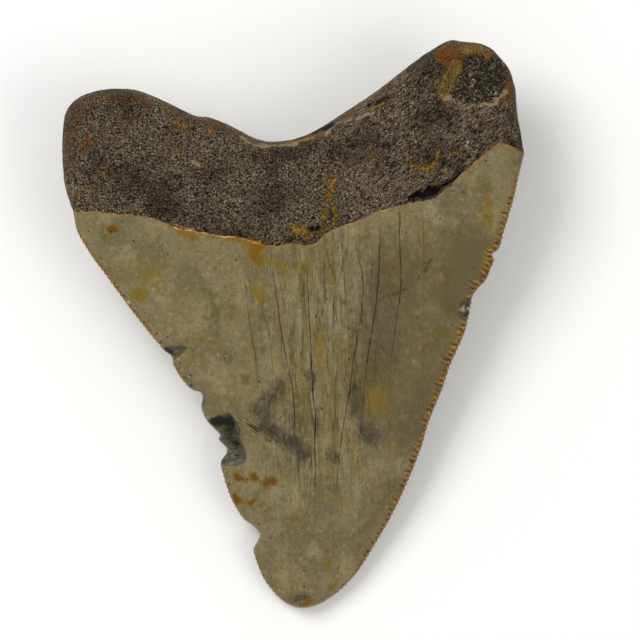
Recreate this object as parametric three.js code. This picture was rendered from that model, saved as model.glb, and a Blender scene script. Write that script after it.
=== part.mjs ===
import * as THREE from "three";

// A fossil megalodon tooth lying on its tongue (lingual) side, with its lip (labial) side up.
// Sizes are in millimetres.
// +X is right and +Y runs from the tip to the root as the lip side is seen, +Z is up.
// The tooth is one solid: an enamel crown with serrated edges on a root with two lobes.

// Driving dimensions
const TIP_Y = -42.7;
const EDGE_HEIGHT_AT_TIP = 1.4;
const EDGE_RISE = 0.215;
const LIP_BEVEL = 0.9;
const LIP_ARCH = 1.3;
const SERRATION_PITCH = 0.81;
const SERRATION_DEPTH = 0.16;
const ENAMEL_STEP = 0.35;
const NECK_STEP = 0.25;
const EDGE_ROUNDING = 0.5;
const LOBE_ROUNDING = 3.4;
const NOTCH_ROUNDING = 2.0;
const INNER_INSET = 3.6;
const INNER_SMOOTHING = 4.5;
const COLUMNS = 84;

// The outline seen from above, as read along the tooth: tip, left cutting edge with its chips
// and bites, and the corner where the enamel ends.
const LEFT_CORNER = [-32.9, 17.0];
const RIGHT_CORNER = [34.6, 25.7];
const TIP = [1.5, TIP_Y];
const LEFT_EDGE = [
  LEFT_CORNER, [-32.4, 14.3], [-30.8, 11.3], [-27.6, 6.8], [-25.4, 3.8], [-22.0, -0.7], [-19.4, -3.7],
  [-18.2, -4.7], [-18.0, -5.9], [-16.7, -8.2], [-15.1, -9.7], [-14.0, -10.0], [-13.6, -10.6],
  [-13.8, -12.3], [-13.0, -14.3], [-11.6, -15.8], [-11.0, -16.5], [-11.2, -17.1], [-10.0, -18.5],
  [-10.0, -19.1], [-10.9, -20.6], [-10.6, -22.4], [-9.7, -25.4], [-8.7, -27.4], [-7.5, -29.2],
  [-5.8, -30.4], [-5.0, -31.6], [-5.4, -32.6], [-6.0, -33.7], [-5.9, -34.6], [-5.2, -36.7],
  [-4.5, -38.2], [-3.5, -39.7], [-2.1, -41.2], [-0.4, -42.3], TIP,
];
const RIGHT_EDGE = [
  TIP, [4.2, -42.0], [7.5, -39.7], [10.1, -36.7], [12.0, -33.7], [14.6, -29.2], [16.8, -24.7],
  [19.1, -19.0], [20.6, -14.2], [22.4, -9.7], [23.7, -5.9], [24.0, -5.2], [24.7, -3.7], [25.9, -0.7],
  [26.6, 2.3], [27.0, 4.4], [27.7, 5.5], [28.9, 6.8], [29.6, 8.3], [30.2, 9.9], [29.9, 10.6],
  [30.9, 11.5], [31.7, 14.3], [33.2, 19.4], [33.9, 22.7], RIGHT_CORNER,
];
const ROOT_OUTLINE = [
  LEFT_CORNER, [-33.6, 18.8], [-34.4, 21.8], [-34.5, 29.3], [-34.0, 32.0], [-32.6, 33.8],
  [-30.9, 34.7], [-28.7, 35.3], [-26.0, 35.5], [-23.4, 35.3], [-20.0, 34.0], [-14.6, 31.5],
  [-12.5, 31.2], [-9.8, 30.2], [-5.0, 27.9], [-2.0, 27.7], [1.1, 28.3], [4.1, 29.7], [8.6, 32.6],
  [13.1, 35.6], [17.6, 39.1], [20.6, 41.2], [23.6, 42.7], [25.4, 42.5], [26.6, 42.4], [28.1, 42.2],
  [29.6, 41.5], [31.1, 40.0], [32.3, 38.5], [33.3, 35.5], [33.6, 31.9], [34.2, 28.5], RIGHT_CORNER,
];
const LIP_ENAMEL_LINE = [
  LEFT_CORNER, [-30.5, 17.1], [-26.0, 16.6], [-20.7, 15.9], [-17.3, 14.6], [-13.7, 13.9],
  [-10.2, 13.2], [-8.6, 13.4], [-5.9, 12.5], [-2.3, 11.8], [-0.5, 12.2], [2.9, 12.1], [4.8, 13.6],
  [6.6, 14.6], [10.1, 15.8], [13.2, 17.2], [16.8, 18.1], [20.9, 18.9], [23.6, 21.1], [26.0, 23.3],
  [28.4, 25.4], [30.8, 27.2], [31.8, 27.1], [33.2, 26.5], RIGHT_CORNER,
];
const TONGUE_ENAMEL_LINE = [
  LEFT_CORNER, [-26.0, 13.2], [-16.0, 8.4], [-7.0, 4.2], [0.8, 2.6], [8.0, 4.8], [16.0, 9.6],
  [25.0, 15.8], [31.0, 21.3], RIGHT_CORNER,
];
const NECK_LINE = [
  LEFT_CORNER, [-26.0, 15.4], [-16.0, 12.4], [-7.0, 9.4], [0.8, 8.2], [8.0, 10.2], [16.0, 14.4],
  [25.0, 19.6], [31.0, 23.8], RIGHT_CORNER,
];

// The unbroken flanks that the two faces taper to: y, left x, right x. Beside the root they lie
// outside the outline, so the lobes keep a thick, rounded side.
const FLANKS = [
  [-43.6, 0.2, 2.6], [-42.7, -1.0, 4.2], [-40.0, -4.4, 7.9], [-36.7, -6.3, 10.5], [-29.2, -9.3, 14.9],
  [-19.0, -13.3, 19.4], [-9.7, -17.2, 22.8], [-0.7, -22.6, 26.4], [6.8, -28.1, 29.5],
  [11.3, -31.2, 31.2], [17.0, -34.0, 32.8], [22.7, -37.2, 34.4], [28.5, -38.8, 37.0], [43.0, -40.0, 39.0],
];
// How far the tongue side lies under the cutting edges along the middle of the tooth: y, depth.
const TONGUE_DEPTH = [
  [-43.6, 0.9], [-40.0, 2.0], [-35.0, 2.9], [-30.0, 3.8], [-20.0, 5.4], [-10.0, 7.0], [0.0, 8.7],
  [5.0, 9.7], [10.0, 11.3], [14.0, 13.2], [18.0, 14.9], [22.0, 15.6], [25.0, 14.4], [28.0, 12.4],
  [31.0, 11.4], [36.0, 11.0], [43.0, 10.6],
];
// Hollows in the lip side: x, y, half width, half height, depth. The first four are the flake
// scars and bites of the left edge, the next two the nicks of the right edge.
const CROWN_HOLLOWS = [
  [-10.8, -14.9, 2.2, 1.7, 0.7], [-9.6, -17.2, 2.2, 2.2, 0.7], [-9.2, -19.8, 2.2, 1.6, 0.7],
  [-17.8, -3.9, 2.2, 1.1, 0.5], [25.9, 3.2, 1.0, 0.9, 0.3], [25.8, 1.7, 1.0, 0.8, 0.25],
];
// The worn oval of the right lobe, the groove beside the enamel and the pits of the root.
const ROOT_HOLLOWS = [
  [27.4, 37.2, 5.2, 4.3, 0.5], [18.6, 19.2, 1.6, 0.9, 0.6], [21.0, 20.2, 1.6, 0.9, 0.7],
  [23.4, 21.3, 1.6, 1.0, 0.6], [4.4, 29.2, 2.2, 0.9, 0.6], [12.4, 32.9, 2.4, 0.9, 0.6],
  [-27.2, 27.5, 1.8, 1.3, 0.5], [-22.4, 24.1, 1.4, 1.1, 0.4], [-14.0, 21.6, 1.6, 1.2, 0.4],
  [-6.4, 19.3, 1.4, 1.6, 0.5], [-3.0, 22.4, 1.3, 1.1, 0.4], [5.0, 18.4, 1.5, 1.8, 0.5],
  [11.2, 24.8, 1.6, 1.2, 0.5], [17.9, 29.4, 1.8, 1.3, 0.5], [24.6, 29.6, 1.4, 1.2, 0.4],
  [-30.6, 22.0, 1.3, 1.2, 0.4],
];
// The opening of the feeding vessel and its groove in the tongue side of the root.
const TONGUE_HOLLOWS = [
  [0.9, 12.9, 1.5, 1.2, 1.3], [1.2, 26.6, 2.4, 3.0, 0.8], [-9.5, 20.8, 1.3, 1.0, 0.6],
  [13.6, 26.2, 1.4, 1.1, 0.6],
];

const smooth = THREE.MathUtils.smoothstep;
const mix = THREE.MathUtils.lerp;

// A smooth function through rows of [position, value, value...], held level past both ends.
function through(rows, column = 1) {
  const slope = (i) => {
    const [before, after] = [rows[Math.max(i - 1, 0)], rows[Math.min(i + 1, rows.length - 1)]];
    return (after[column] - before[column]) / (after[0] - before[0]);
  };
  return (position) => {
    const p = THREE.MathUtils.clamp(position, rows[0][0], rows.at(-1)[0]);
    const i = Math.max(rows.findIndex((row) => row[0] >= p), 1);
    const [a, b] = [rows[i - 1], rows[i]];
    const length = b[0] - a[0];
    const t = (p - a[0]) / length;
    const bow = t * (1 - t) * length;
    return mix(a[column], b[column], t * t * (3 - 2 * t))
      + bow * ((1 - t) * slope(i - 1) - t * slope(i));
  };
}

function curveThrough(points) {
  const path = points.map(([x, y]) => new THREE.Vector3(x, y, 0));
  const curve = new THREE.CatmullRomCurve3(path, false, "centripetal");
  curve.arcLengthDivisions = 3000;
  return curve;
}

const crownEdge = curveThrough([...LEFT_EDGE, ...RIGHT_EDGE.slice(1)]);
const rootEdge = curveThrough(ROOT_OUTLINE);
const lipLine = curveThrough(LIP_ENAMEL_LINE);
const tongueLine = curveThrough(TONGUE_ENAMEL_LINE);
const neckLine = curveThrough(NECK_LINE);
const lipLineHeight = through(LIP_ENAMEL_LINE);
const leftFlank = through(FLANKS, 1);
const rightFlank = through(FLANKS, 2);
const tongueDepth = through(TONGUE_DEPTH);

const outline = [...crownEdge.getSpacedPoints(500), ...rootEdge.getSpacedPoints(300).reverse()];

function distanceToOutline(x, y) {
  const spot = new THREE.Vector3(x, y, 0);
  return Math.sqrt(Math.min(...outline.map((point) => point.distanceToSquared(spot))));
}

const edgeHeight = (y) => EDGE_HEIGHT_AT_TIP + EDGE_RISE * (y - TIP_Y);

// Distance from the nearer flank, rounded over in the middle, and the same as 0 to 1.
function insetOf(x, y) {
  const [left, right] = [leftFlank(y), rightFlank(y)];
  const inset = Math.max((x - left) * (right - x), 0) / (right - left);
  return { inset, fullness: (4 * inset) / (right - left) };
}

// Bowl-shaped hollows, deepest in the middle.
function hollowDepth(hollows, x, y) {
  return hollows.reduce((sum, [cx, cy, rx, ry, depth]) => {
    const reach = ((x - cx) / rx) ** 2 + ((y - cy) / ry) ** 2;
    return sum + depth * Math.max(1 - reach, 0) ** 0.7;
  }, 0);
}

// Low lumps of the bone, in waves that never line up.
function lumps(x, y) {
  return 0.13 * Math.sin(0.9 * x + 0.7 * Math.sin(0.5 * y)) * Math.cos(0.8 * y + 0.4 * x)
    + 0.1 * Math.sin(1.9 * x - 0.8 * y + 1.3) * Math.sin(1.5 * y + 0.6 * x + 0.4);
}

// Heights of the two faces before the rim is rounded. The part is crown, neck or root.
function lipFace(x, y, part) {
  const { inset, fullness } = insetOf(x, y);
  const face = edgeHeight(y) + LIP_BEVEL * (1 - Math.exp(-inset / 2)) + LIP_ARCH * fullness;
  if (part === "crown") {
    return face - hollowDepth(CROWN_HOLLOWS, x, y);
  }
  return face - ENAMEL_STEP + lumps(x, y) - hollowDepth(ROOT_HOLLOWS, x, y);
}

function tongueFace(x, y, part) {
  const { fullness } = insetOf(x, y);
  const bluntness = mix(0.8, 0.35, smooth(y - lipLineHeight(x), -6, 6));
  const face = edgeHeight(y) - tongueDepth(y) * fullness ** bluntness;
  const step = part === "neck" ? NECK_STEP : 0;
  const relief = part === "root" ? lumps(y, x) + hollowDepth(TONGUE_HOLLOWS, x, y) : 0;
  return Math.max(face + step + relief * smooth(face, 0.1, 0.6), 0);
}

function rimRounding(x, y) {
  const root = smooth(y - lipLineHeight(x), 0, 5);
  const notch = Math.exp(-((x / 14) ** 2));
  return mix(EDGE_ROUNDING, mix(LOBE_ROUNDING, NOTCH_ROUNDING, notch), root);
}

// A vertex of one face: the rim lies midway between the faces, and each face rounds over to it.
function faceHeight(face, x, y, part) {
  const lip = lipFace(x, y, part === "neck" ? "root" : part);
  const tongue = tongueFace(x, y, part);
  const middle = (lip + tongue) / 2;
  const reach = Math.min(distanceToOutline(x, y) / rimRounding(x, y), 1);
  return mix(middle, face === "lip" ? lip : tongue, Math.sqrt(1 - (1 - reach) ** 2));
}

const positions = [];
const triangles = [];

function addVertex(x, y, z) {
  positions.push(x, y, z);
  return positions.length / 3 - 1;
}

function rimVertex(point, part) {
  const middle = (lipFace(point.x, point.y, part) + tongueFace(point.x, point.y, part)) / 2;
  return addVertex(point.x, point.y, middle);
}

const leftCorner = rimVertex(crownEdge.getPointAt(0), "crown");
const rightCorner = rimVertex(crownEdge.getPointAt(1), "crown");

// A row of vertices from the left enamel corner to the right one, each with its place u on the way.
function makeRow(count, vertexAt) {
  const inner = Array.from({ length: count - 1 }, (_, i) => (i + 1) / count);
  const row = inner.map((u) => ({ u, vertex: vertexAt(u) }));
  return [{ u: 0, vertex: leftCorner }, ...row, { u: 1, vertex: rightCorner }];
}

// The cutting edge: every other vertex is the valley between two serrations. The serrations fade
// out at the corners, at the tip and where the edge is chipped.
const CHIPPED = [[-18.2, -4.6, 2.2], [-14.0, -11.4, 3.2], [-10.8, -17.8, 4.0], [-5.4, -31.6, 2.6],
  [28.3, 6.2, 2.0], [1.5, -42.7, 3.5]];

function serrationAt(point, u) {
  const chip = Math.min(...CHIPPED.map(([x, y, r]) => Math.hypot(point.x - x, point.y - y) / r));
  return SERRATION_DEPTH * smooth(chip, 0.8, 1.2) * smooth(Math.min(u, 1 - u), 0.005, 0.03);
}

const serrations = Math.round(crownEdge.getLength() / SERRATION_PITCH);
const cuttingEdge = makeRow(2 * serrations, (u) => {
  const point = crownEdge.getPointAt(u);
  const along = crownEdge.getTangentAt(u);
  const valley = Math.round(u * 2 * serrations) % 2 ? serrationAt(point, u) : 0;
  return rimVertex(new THREE.Vector3(point.x - along.y * valley, point.y + along.x * valley, 0), "crown");
});

// A smooth line beside the cutting edge, which the outer rows reach square to the edge.
const innerEdge = {
  getPointAt(u) {
    const length = crownEdge.getLength();
    const toCorner = Math.min(u, 1 - u);
    const spread = Math.min(INNER_SMOOTHING / length, toCorner);
    const steps = Array.from({ length: 15 }, (_, k) => k / 7 - 1);
    const smoothed = (at) => steps
      .map((k) => crownEdge.getPointAt(THREE.MathUtils.clamp(at + k * spread, 0, 1)))
      .reduce((sum, point) => sum.add(point)).divideScalar(steps.length);
    const ahead = smoothed(Math.min(u + 2e-3, 1 - spread)).sub(smoothed(Math.max(u - 2e-3, spread)));
    const inset = INNER_INSET * (1 - Math.exp((-toCorner * length) / (2 * INNER_INSET)));
    const inward = new THREE.Vector3(-ahead.y, ahead.x, 0).setLength(inset);
    return smoothed(u).add(inward);
  },
};

const rootRim = makeRow(COLUMNS, (u) => rimVertex(rootEdge.getPointAt(u), "root"));

// A row of one face, part of the way from one line to another.
function rowBetween(face, from, to, share, part) {
  return makeRow(COLUMNS, (u) => {
    const point = from.getPointAt(u).lerp(to.getPointAt(u), share);
    return addVertex(point.x, point.y, faceHeight(face, point.x, point.y, part));
  });
}

const rowsBetween = (face, from, to, shares, part) =>
  shares.map((share) => rowBetween(face, from, to, share, part));

function addTriangle(a, b, c, flip) {
  if (a !== b && b !== c && c !== a) {
    triangles.push(a, flip ? c : b, flip ? b : c);
  }
}

// Joins two rows whose counts may differ by always stepping along the one that lags behind.
function stitch(low, high, flip) {
  let [i, j] = [0, 0];
  while (i < low.length - 1 || j < high.length - 1) {
    const stepLow = j === high.length - 1 || (i < low.length - 1 && low[i + 1].u <= high[j + 1].u);
    const next = stepLow ? low[i + 1] : high[j + 1];
    addTriangle(low[i].vertex, next.vertex, high[j].vertex, flip);
    [i, j] = stepLow ? [i + 1, j] : [i, j + 1];
  }
}

function stitchAll(rows, flip) {
  rows.slice(1).forEach((row, i) => stitch(rows[i], row, flip));
}

const EDGE_SHARES = [0.16, 0.38, 0.66];
const CROWN_SHARES = [0, 0.08, 0.17, 0.26, 0.36, 0.46, 0.56, 0.66, 0.76, 0.86, 0.95];
const LIP_ROOT_SHARES = [0.025, 0.12, 0.23, 0.35, 0.48, 0.61, 0.73, 0.83, 0.9, 0.96, 0.99];
const NECK_SHARES = [0.06, 0.5, 0.97];
const TONGUE_ROOT_SHARES = [0.05, 0.18, 0.33, 0.48, 0.62, 0.74, 0.84, 0.92, 0.97];

stitchAll([
  cuttingEdge,
  ...rowsBetween("lip", crownEdge, innerEdge, EDGE_SHARES, "crown"),
  ...rowsBetween("lip", innerEdge, lipLine, CROWN_SHARES, "crown"),
  rowBetween("lip", lipLine, rootEdge, 0, "crown"),
  ...rowsBetween("lip", lipLine, rootEdge, LIP_ROOT_SHARES, "root"),
  rootRim,
], false);
stitchAll([
  cuttingEdge,
  ...rowsBetween("tongue", crownEdge, innerEdge, EDGE_SHARES, "crown"),
  ...rowsBetween("tongue", innerEdge, tongueLine, CROWN_SHARES, "crown"),
  rowBetween("tongue", tongueLine, neckLine, 0, "crown"),
  ...rowsBetween("tongue", tongueLine, neckLine, NECK_SHARES, "neck"),
  rowBetween("tongue", neckLine, rootEdge, 0, "root"),
  ...rowsBetween("tongue", neckLine, rootEdge, TONGUE_ROOT_SHARES, "root"),
  rootRim,
], true);

const geometry = new THREE.BufferGeometry();
geometry.setAttribute("position", new THREE.Float32BufferAttribute(positions, 3));
geometry.setIndex(triangles);
geometry.computeVertexNormals();

const tooth = new THREE.Mesh(
  geometry,
  new THREE.MeshStandardMaterial({ color: 0x6f664b, roughness: 0.5, metalness: 0 }),
);
tooth.name = "tooth";

const megalodonTooth = new THREE.Group();
megalodonTooth.name = "megalodon_tooth";
megalodonTooth.add(tooth);

export default megalodonTooth;
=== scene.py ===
import math

import bpy
import numpy as np
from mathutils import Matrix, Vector, kdtree, noise


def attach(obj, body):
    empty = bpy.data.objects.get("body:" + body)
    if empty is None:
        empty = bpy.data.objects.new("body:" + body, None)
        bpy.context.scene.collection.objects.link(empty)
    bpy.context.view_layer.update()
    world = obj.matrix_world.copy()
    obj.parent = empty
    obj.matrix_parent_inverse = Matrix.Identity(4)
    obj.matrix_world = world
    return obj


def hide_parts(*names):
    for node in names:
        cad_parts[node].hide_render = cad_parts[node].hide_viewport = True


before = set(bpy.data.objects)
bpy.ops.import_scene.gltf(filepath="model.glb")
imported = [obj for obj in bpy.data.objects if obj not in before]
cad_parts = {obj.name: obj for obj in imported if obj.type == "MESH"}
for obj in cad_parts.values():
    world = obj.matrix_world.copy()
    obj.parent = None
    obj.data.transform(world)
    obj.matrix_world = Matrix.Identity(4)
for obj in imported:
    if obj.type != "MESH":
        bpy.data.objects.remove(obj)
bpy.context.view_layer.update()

# The tooth's form. The real one is a single fossil: a thin-edged, serrated crown of enamel over
# dentine, grown in one with a thick bony root of two lobes. It is made as one skin in two halves,
# lip side up and tongue side down. Sizes are in millimetres, seen from above, the tip towards -Y.
MM = 0.001
TIP_Y = -42.7
EDGE_HEIGHT_AT_TIP = 1.4
EDGE_RISE = 0.215
LIP_BEVEL = 0.9
LIP_BEVEL_WIDTH = 2.0
LIP_ARCH = 1.3
SERRATION_PITCH = 0.81
SERRATION_DEPTH = 0.16
SERRATION_LENGTH = 1.1
ENAMEL_STEP = 0.35
NECK_STEP = 0.25
EDGE_ROUNDING = 0.5
LOBE_ROUNDING = 3.4
NOTCH_ROUNDING = 2.0
NOTCH_REACH = 14.0
# How square the tongue side is across: 1 is a parabola, and 0 a flat slab.
CROWN_SQUARENESS = 0.8
ROOT_SQUARENESS = 0.35

LEFT_CORNER = (-32.9, 17.0)
RIGHT_CORNER = (34.6, 25.7)
TIP = (1.5, TIP_Y)
LEFT_EDGE = [
    LEFT_CORNER, (-32.4, 14.3), (-30.8, 11.3), (-27.6, 6.8), (-25.4, 3.8), (-22.0, -0.7), (-19.4, -3.7),
    (-18.2, -4.7), (-18.0, -5.9), (-16.7, -8.2), (-15.1, -9.7), (-14.0, -10.0), (-13.6, -10.6),
    (-13.8, -12.3), (-13.0, -14.3), (-11.6, -15.8), (-11.0, -16.5), (-11.2, -17.1), (-10.0, -18.5),
    (-10.0, -19.1), (-10.9, -20.6), (-10.6, -22.4), (-9.7, -25.4), (-8.7, -27.4), (-7.5, -29.2),
    (-5.8, -30.4), (-5.0, -31.6), (-5.4, -32.6), (-6.0, -33.7), (-5.9, -34.6), (-5.2, -36.7),
    (-4.5, -38.2), (-3.5, -39.7), (-2.1, -41.2), (-0.4, -42.3), TIP,
]
RIGHT_EDGE = [
    TIP, (4.2, -42.0), (7.5, -39.7), (10.1, -36.7), (12.0, -33.7), (14.6, -29.2), (16.8, -24.7),
    (19.1, -19.0), (20.6, -14.2), (22.4, -9.7), (23.7, -5.9), (24.0, -5.2), (24.7, -3.7), (25.9, -0.7),
    (26.6, 2.3), (27.0, 4.4), (27.7, 5.5), (28.9, 6.8), (29.6, 8.3), (30.2, 9.9), (29.9, 10.6),
    (30.9, 11.5), (31.7, 14.3), (33.2, 19.4), (33.9, 22.7), RIGHT_CORNER,
]
ROOT_OUTLINE = [
    LEFT_CORNER, (-33.6, 18.8), (-34.4, 21.8), (-34.5, 29.3), (-34.0, 32.0), (-32.6, 33.8),
    (-30.9, 34.7), (-28.7, 35.3), (-26.0, 35.5), (-23.4, 35.3), (-20.0, 34.0), (-14.6, 31.5),
    (-12.5, 31.2), (-9.8, 30.2), (-5.0, 27.9), (-2.0, 27.7), (1.1, 28.3), (4.1, 29.7), (8.6, 32.6),
    (13.1, 35.6), (17.6, 39.1), (20.6, 41.2), (23.6, 42.7), (25.4, 42.5), (26.6, 42.4), (28.1, 42.2),
    (29.6, 41.5), (31.1, 40.0), (32.3, 38.5), (33.3, 35.5), (33.6, 31.9), (34.2, 28.5), RIGHT_CORNER,
]
LIP_ENAMEL_LINE = [
    LEFT_CORNER, (-30.5, 17.1), (-26.0, 16.6), (-20.7, 15.9), (-17.3, 14.6), (-13.7, 13.9),
    (-10.2, 13.2), (-8.6, 13.4), (-5.9, 12.5), (-2.3, 11.8), (-0.5, 12.2), (2.9, 12.1), (4.8, 13.6),
    (6.6, 14.6), (10.1, 15.8), (13.2, 17.2), (16.8, 18.1), (20.9, 18.9), (23.6, 21.1), (26.0, 23.3),
    (28.4, 25.4), (30.8, 27.2), (31.8, 27.1), (33.2, 26.5), RIGHT_CORNER,
]
TONGUE_ENAMEL_LINE = [
    LEFT_CORNER, (-26.0, 13.2), (-16.0, 8.4), (-7.0, 4.2), (0.8, 2.6), (8.0, 4.8), (16.0, 9.6),
    (25.0, 15.8), (31.0, 21.3), RIGHT_CORNER,
]
NECK_LINE = [
    LEFT_CORNER, (-26.0, 15.4), (-16.0, 12.4), (-7.0, 9.4), (0.8, 8.2), (8.0, 10.2), (16.0, 14.4),
    (25.0, 19.6), (31.0, 23.8), RIGHT_CORNER,
]
# The flanks that both faces taper to, as (y, left x, right x), and how far the tongue side hangs
# below the cutting edge, as (y, depth).
FLANKS = [
    (-43.6, 0.2, 2.6), (-42.7, -1.0, 4.2), (-40.0, -4.4, 7.9), (-36.7, -6.3, 10.5), (-29.2, -9.3, 14.9),
    (-19.0, -13.3, 19.4), (-9.7, -17.2, 22.8), (-0.7, -22.6, 26.4), (6.8, -28.1, 29.5),
    (11.3, -31.2, 31.2), (17.0, -34.0, 32.8), (22.7, -37.2, 34.4), (28.5, -38.8, 37.0), (43.0, -40.0, 39.0),
]
TONGUE_DEPTH = [
    (-43.6, 0.9), (-40.0, 2.0), (-35.0, 2.9), (-30.0, 3.8), (-20.0, 5.4), (-10.0, 7.0), (0.0, 8.7),
    (5.0, 9.7), (10.0, 11.3), (14.0, 13.2), (18.0, 14.9), (22.0, 15.6), (25.0, 14.4), (28.0, 12.4),
    (31.0, 11.4), (36.0, 11.0), (43.0, 10.6),
]
# Hollows are (x, y, half width, half height, depth), and chipped places of the edge (x, y, reach).
ROOT_HOLLOWS = [
    (-27.2, 27.5, 1.8, 1.3, 0.5), (-22.4, 24.1, 1.4, 1.1, 0.4), (-14.0, 21.6, 1.6, 1.2, 0.4),
    (-6.4, 19.3, 1.4, 1.6, 0.5), (-3.0, 22.4, 1.3, 1.1, 0.4), (5.0, 18.4, 1.5, 1.8, 0.5),
    (11.2, 24.8, 1.6, 1.2, 0.5), (17.9, 29.4, 1.8, 1.3, 0.5), (24.6, 29.6, 1.4, 1.2, 0.4),
    (-30.6, 22.0, 1.3, 1.2, 0.4),
]
TONGUE_HOLLOWS = [
    (0.9, 12.9, 1.5, 1.2, 1.3), (1.2, 26.6, 2.4, 3.0, 0.8), (-9.5, 20.8, 1.3, 1.0, 0.6),
    (13.6, 26.2, 1.4, 1.1, 0.6),
]
CHIPPED = [
    (-18.2, -4.6, 2.2), (-14.0, -11.4, 3.2), (-10.8, -17.8, 4.0), (-5.4, -31.6, 2.6), (28.3, 6.2, 2.0),
    (1.5, -42.7, 3.5),
]
# Flakes knocked off the lip side while the tooth was used or buried, as outlines, with how deep.
# They go no deeper than a share of the thickness there, and their walls rise over a short way.
DEEPEST_SCAR = 0.4
WALL = (-0.05, 0.55)
SCARS = [
    (0.75, [(-15.0, -14.2), (-12.6, -14.1), (-11.2, -13.7), (-9.6, -13.0), (-8.5, -14.3), (-7.8, -15.7),
            (-8.0, -16.7), (-7.5, -17.9), (-6.9, -19.7), (-7.2, -20.6), (-8.3, -21.2), (-10.4, -21.2),
            (-12.5, -20.8), (-13.0, -17.5)]),
    (0.5, [(-20.5, -3.4), (-18.8, -3.1), (-17.0, -3.0), (-15.4, -3.2), (-16.6, -4.2), (-17.3, -4.9),
           (-18.8, -5.6)]),
    (0.3, [(-15.0, -9.6), (-13.5, -9.8), (-13.1, -11.2), (-13.4, -12.3), (-15.0, -12.2)]),
    (0.3, [(24.9, 3.8), (26.6, 3.9), (28.2, 3.6), (27.9, 2.5), (25.2, 2.6)]),
    (0.25, [(24.7, 2.4), (28.0, 2.4), (27.4, 1.0), (24.8, 1.2)]),
    (0.4, [(26.8, 3.9), (27.7, 5.2), (28.6, 6.2), (30.0, 5.0), (28.0, 3.0)]),
]
# The worn flat on the higher lobe, and the ridge above which the root turns over into the notch.
FACET_DEPTH = 0.6
FACET = [
    (22.0, 34.3), (23.9, 33.4), (25.4, 33.0), (28.8, 32.8), (30.6, 33.8), (32.0, 35.6), (32.2, 38.0),
    (30.6, 40.4), (27.8, 41.2), (25.2, 40.4), (23.6, 38.4),
]
SHOULDER_DROP = 0.9
SHOULDER_SLOPE = 0.9
SHOULDER_MIDDLE = 4.0
SHOULDER_FULL = 9.0
SHOULDER_END = 15.0
SHOULDER = [
    (-8.7, 28.7), (-7.2, 27.8), (-5.5, 27.1), (-3.4, 26.6), (-1.2, 26.6), (1.1, 27.2), (3.8, 28.0),
    (5.6, 29.2), (7.8, 30.4), (9.6, 31.1), (11.6, 32.0), (15.3, 33.7), (16.8, 34.3),
]
# Narrow grooves in the root: half width, depth, then the points they run along.
GROOVES = [
    (0.4, 0.5, (16.6, 18.7), (19.5, 19.7), (22.5, 20.7), (24.2, 21.9), (25.6, 23.4)),
    (0.75, 0.65, (18.8, 19.5), (21.0, 20.3)),
    (0.45, 0.6, (2.9, 28.9), (4.7, 29.4), (6.3, 30.1)),
    (0.35, 0.5, (11.2, 32.7), (13.0, 33.5), (15.2, 34.3)),
    (0.6, 0.4, (34.2, 28.6), (34.5, 27.0)),
    (0.3, 0.5, (19.4, 32.5), (19.5, 32.4)),
    (0.45, 0.5, (1.8, 26.1), (2.2, 25.9)),
    (0.5, 0.4, (26.8, 28.9), (27.8, 28.9)),
]


def smooth(value, low, high):
    """A smooth step from 0 at low to 1 at high."""
    t = np.clip((value - low) / (high - low), 0, 1)
    return t * t * (3 - 2 * t)


def mix(a, b, share):
    return a + (b - a) * share


def bow(a, b, slope_a, slope_b, t):
    """A cubic from a to b that leaves and arrives at the given slopes."""
    return mix(a, b, t * t * (3 - 2 * t)) + t * (1 - t) * ((1 - t) * slope_a - t * slope_b)


def curve_through(points, steps_to_a_point=24):
    """A smooth curve through the points, as a function of the share of its length from 0 to 1."""
    p = np.array(points, float)
    p = np.vstack([2 * p[0] - p[1], p, 2 * p[-1] - p[-2]])
    steps = np.linspace(0, 1, steps_to_a_point, endpoint=False)[:, None]
    fine = []
    for before, a, b, after in zip(p, p[1:], p[2:], p[3:]):
        k0, k1, k2 = (math.sqrt(math.dist(*ends)) for ends in ((before, a), (a, b), (b, after)))
        slope_a = k1 * ((a - before) / k0 - (b - before) / (k0 + k1)) + (b - a)
        slope_b = k1 * ((after - b) / k2 - (after - a) / (k1 + k2)) + (b - a)
        fine.append(bow(a, b, slope_a, slope_b, steps))
    fine = np.vstack([*fine, p[-2]])
    reach = np.concatenate([[0], np.cumsum(np.linalg.norm(np.diff(fine, axis=0), axis=1))])

    def at(share):
        along = np.asarray(share) * reach[-1]
        return np.stack([np.interp(along, reach, fine[:, 0]), np.interp(along, reach, fine[:, 1])], -1)

    at.length = reach[-1]
    return at


def level_through(rows, column=1):
    """A smooth function through rows of (position, value, ...), held level past both ends."""
    rows = np.array(rows, float)
    place, value = rows[:, 0], rows[:, column]
    near, far = np.r_[0, : len(rows) - 1], np.r_[1 : len(rows), len(rows) - 1]
    slopes = (value[far] - value[near]) / (place[far] - place[near])

    def at(position):
        q = np.clip(position, place[0], place[-1])
        i = np.clip(np.searchsorted(place, q), 1, len(place) - 1)
        length = place[i] - place[i - 1]
        t = (q - place[i - 1]) / length
        return bow(value[i - 1], value[i], slopes[i - 1] * length, slopes[i] * length, t)

    return at


cutting_edge = curve_through(LEFT_EDGE + RIGHT_EDGE[1:])
root_edge = curve_through(ROOT_OUTLINE)
lip_line = curve_through(LIP_ENAMEL_LINE)
tongue_line = curve_through(TONGUE_ENAMEL_LINE)
neck_line = curve_through(NECK_LINE)
lip_line_height = level_through(LIP_ENAMEL_LINE)
shoulder_height = level_through(SHOULDER)
left_flank = level_through(FLANKS, 1)
right_flank = level_through(FLANKS, 2)
tongue_depth = level_through(TONGUE_DEPTH)
serrations = round(cutting_edge.length / SERRATION_PITCH)


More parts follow.
